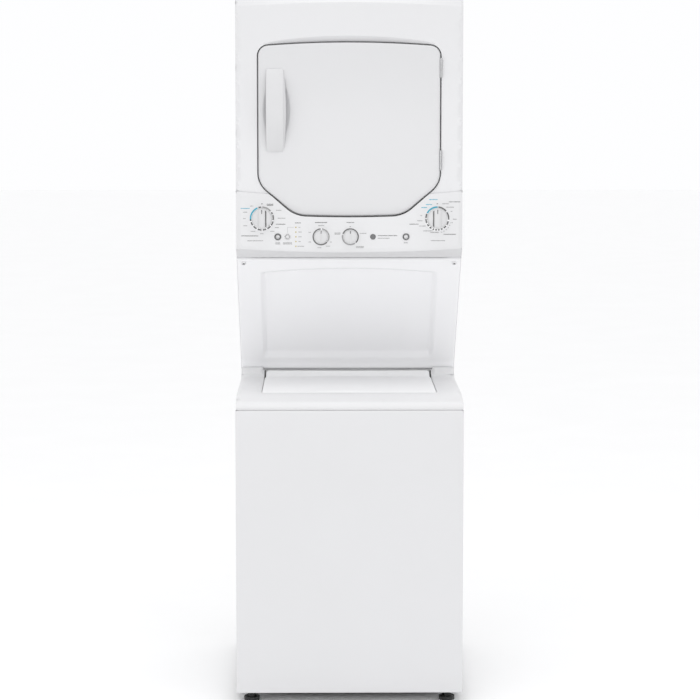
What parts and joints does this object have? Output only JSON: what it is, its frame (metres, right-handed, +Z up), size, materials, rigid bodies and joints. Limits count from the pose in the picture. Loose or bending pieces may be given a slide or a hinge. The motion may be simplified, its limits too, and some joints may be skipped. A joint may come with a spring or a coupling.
{
  "type": "stacked washer dryer",
  "caption": "White one-piece laundry centre: front-opening dryer with a dial console above a slanted bridge, and a top-loading washer with a hinged lid below.",
  "frame": {"origin": "on the floor under the middle of the cabinet's plan", "axes": "+Z up, +Y towards the back, +X to the right of a person facing the front"},
  "size_m": [0.603, 0.65, 1.876],
  "materials": {
    "enamel": "smooth gloss white enamel on pressed steel",
    "white_plastic": "satin-gloss white moulded plastic",
    "grey_plastic": "matte grey moulded plastic",
    "dark_plastic": "matte black moulded plastic",
    "zinc": "galvanised sheet and plated steel",
    "basket": "porcelain-white wash basket",
    "rubber": "black rubber",
    "chrome": "plated bright metal",
    "gasket": "pale felt and rubber seal",
    "lamp": "small amber lamp lenses"
  },
  "bodies": {
    "cabinet": {"base_frame": "zinc", "washer_cabinet": "enamel", "washer_front_panel": "enamel", "top_cover": "white_plastic", "suspension_rods": "zinc", "suspension_springs": "zinc", "drain_pump": "dark_plastic", "inlet_valve": "dark_plastic", "bridge_panel": "enamel", "cabinet_screws": "zinc", "rear_panel": "zinc", "dryer_stand": "enamel", "dryer_cabinet": "enamel", "dryer_front_panel": "enamel", "dryer_bulkhead": "zinc", "heater_box": "zinc", "lint_duct": "zinc", "blower_housing": "grey_plastic", "exhaust_duct": "zinc", "dryer_motor": "dark_plastic", "drum_belt": "rubber", "door_hinge_leaves": "chrome", "console": "white_plastic", "indicator_lights": "lamp"},
    "lid": {"washer_lid": "white_plastic"},
    "foot_fl": {"foot_front_left": "rubber"},
    "foot_fr": {"foot_front_right": "rubber"},
    "foot_rl": {"foot_rear_left": "rubber"},
    "foot_rr": {"foot_rear_right": "rubber"},
    "tub": {"outer_tub": "white_plastic", "tub_cover": "white_plastic", "drive_platform": "zinc", "gearcase": "zinc", "washer_motor": "dark_plastic", "washer_belt": "rubber"},
    "basket": {"wash_basket": "basket", "balance_ring": "white_plastic", "spin_tube": "zinc"},
    "agitator": {"agitator": "white_plastic"},
    "drive_pulley": {"washer_drive_pulley": "zinc"},
    "motor_pulley": {"washer_motor_pulley": "zinc"},
    "drum": {"drum": "zinc", "drum_baffles": "white_plastic"},
    "dryer_shaft": {"motor_shaft": "zinc", "blower_wheel": "grey_plastic"},
    "idler_arm": {"idler_arm": "zinc"},
    "idler_pulley": {"idler_pulley": "dark_plastic"},
    "door": {"door_outer": "enamel", "door_inner": "enamel", "door_gasket": "gasket", "door_handle": "white_plastic", "door_hinge_arms": "chrome"},
    "lint_filter": {"lint_filter": "grey_plastic"},
    "cycle_knob": {"cycle_knob": "white_plastic"},
    "timer_knob": {"timer_knob": "white_plastic"},
    "temperature_knob": {"temperature_knob": "white_plastic"},
    "option_knob": {"option_knob": "white_plastic"},
    "washer_start_button": {"washer_start_button": "chrome"},
    "dryer_start_button": {"dryer_start_button": "chrome"},
    "signal_button": {"signal_button": "white_plastic"}
  },
  "joints": [
    {"name": "lid_hinge", "type": "hinge", "parent": "cabinet", "child": "lid", "pos_m": [0, 0.08, 0.826], "axis": [-1, 0, 0], "range_deg": [0, 52]},
    {"name": "door_hinge", "type": "hinge", "parent": "cabinet", "child": "door", "pos_m": [0.24275, -0.217, 1.568], "axis": [0, 0, 1], "range_deg": [0, 110]},
    {"name": "foot_fl_screw", "type": "hinge", "parent": "cabinet", "child": "foot_fl", "pos_m": [-0.262, -0.283, 0.02], "axis": [0, 0, 1], "range_deg": [-1440, 1440]},
    {"name": "foot_fr_screw", "type": "hinge", "parent": "cabinet", "child": "foot_fr", "pos_m": [0.262, -0.283, 0.02], "axis": [0, 0, 1], "range_deg": [-1440, 1440]},
    {"name": "foot_rl_screw", "type": "hinge", "parent": "cabinet", "child": "foot_rl", "pos_m": [-0.262, 0.2698, 0.02], "axis": [0, 0, 1], "range_deg": [-1440, 1440]},
    {"name": "foot_rr_screw", "type": "hinge", "parent": "cabinet", "child": "foot_rr", "pos_m": [0.262, 0.2698, 0.02], "axis": [0, 0, 1], "range_deg": [-1440, 1440]},
    {"name": "tub_suspension", "type": "slide", "parent": "cabinet", "child": "tub", "axis": [0, 0, 1], "range_m": [-0.02, 0.008], "stiffness_N_per_m": 9000, "springref_m": 0.04, "deforming": ["suspension_springs"]},
    {"name": "basket_spin", "type": "hinge", "parent": "tub", "child": "basket", "pos_m": [0, -0.04, 0.2], "axis": [0, 0, 1], "continuous": true},
    {"name": "agitator_stroke", "type": "hinge", "parent": "basket", "child": "agitator", "pos_m": [0, -0.04, 0.3], "axis": [0, 0, 1], "range_deg": [-105, 105]},
    {"name": "drive_pulley_spin", "type": "hinge", "parent": "tub", "child": "drive_pulley", "pos_m": [0, -0.04, 0.08], "axis": [0, 0, 1], "continuous": true},
    {"name": "motor_pulley_spin", "type": "hinge", "parent": "tub", "child": "motor_pulley", "pos_m": [-0.165, -0.04, 0.08], "axis": [0, 0, 1], "continuous": true},
    {"name": "drum_spin", "type": "hinge", "parent": "cabinet", "child": "drum", "pos_m": [0, 0, 1.53], "axis": [0, 1, 0], "continuous": true},
    {"name": "blower_spin", "type": "hinge", "parent": "cabinet", "child": "dryer_shaft", "pos_m": [0.228, 0, 1.262], "axis": [0, 1, 0], "continuous": true},
    {"name": "idler_swing", "type": "hinge", "parent": "cabinet", "child": "idler_arm", "pos_m": [0.2, 0.087, 1.205], "axis": [0, -1, 0], "range_deg": [0, 8], "stiffness_Nm_per_rad": 2, "springref_deg": -20.05},
    {"name": "idler_spin", "type": "hinge", "parent": "idler_arm", "child": "idler_pulley", "pos_m": [0.15, 0.075, 1.2284], "axis": [0, 1, 0], "continuous": true},
    {"name": "lint_filter_slide", "type": "slide", "parent": "cabinet", "child": "lint_filter", "axis": [0, 0, 1], "range_m": [0, 0.14]},
    {"name": "cycle_knob_turn", "type": "hinge", "parent": "cabinet", "child": "cycle_knob", "pos_m": [-0.232, -0.228, 1.2915], "axis": [0, 1, 0], "continuous": true},
    {"name": "timer_knob_turn", "type": "hinge", "parent": "cabinet", "child": "timer_knob", "pos_m": [0.234, -0.228, 1.2915], "axis": [0, 1, 0], "continuous": true},
    {"name": "temperature_knob_turn", "type": "hinge", "parent": "cabinet", "child": "temperature_knob", "pos_m": [-0.075, -0.228, 1.243], "axis": [0, 1, 0], "range_deg": [-150, 120]},
    {"name": "option_knob_turn", "type": "hinge", "parent": "cabinet", "child": "option_knob", "pos_m": [0.003, -0.228, 1.243], "axis": [0, 1, 0], "range_deg": [-135, 135]},
    {"name": "washer_start_press", "type": "slide", "parent": "cabinet", "child": "washer_start_button", "axis": [0, 1, 0], "range_m": [0, 0.003], "stiffness_N_per_m": 400, "springref_m": -0.002},
    {"name": "dryer_start_press", "type": "slide", "parent": "cabinet", "child": "dryer_start_button", "axis": [0, 1, 0], "range_m": [0, 0.003], "stiffness_N_per_m": 400, "springref_m": -0.002},
    {"name": "signal_press", "type": "slide", "parent": "cabinet", "child": "signal_button", "axis": [0, 1, 0], "range_m": [0, 0.003], "stiffness_N_per_m": 400, "springref_m": -0.002}
  ],
  "couplings": [
    {"joint": "drive_pulley_spin", "follows": "basket_spin", "ratio": 1},
    {"joint": "motor_pulley_spin", "follows": "basket_spin", "ratio": 4},
    {"joint": "blower_spin", "follows": "drum_spin", "ratio": 19.286},
    {"joint": "idler_spin", "follows": "drum_spin", "ratio": -13.5}
  ]
}
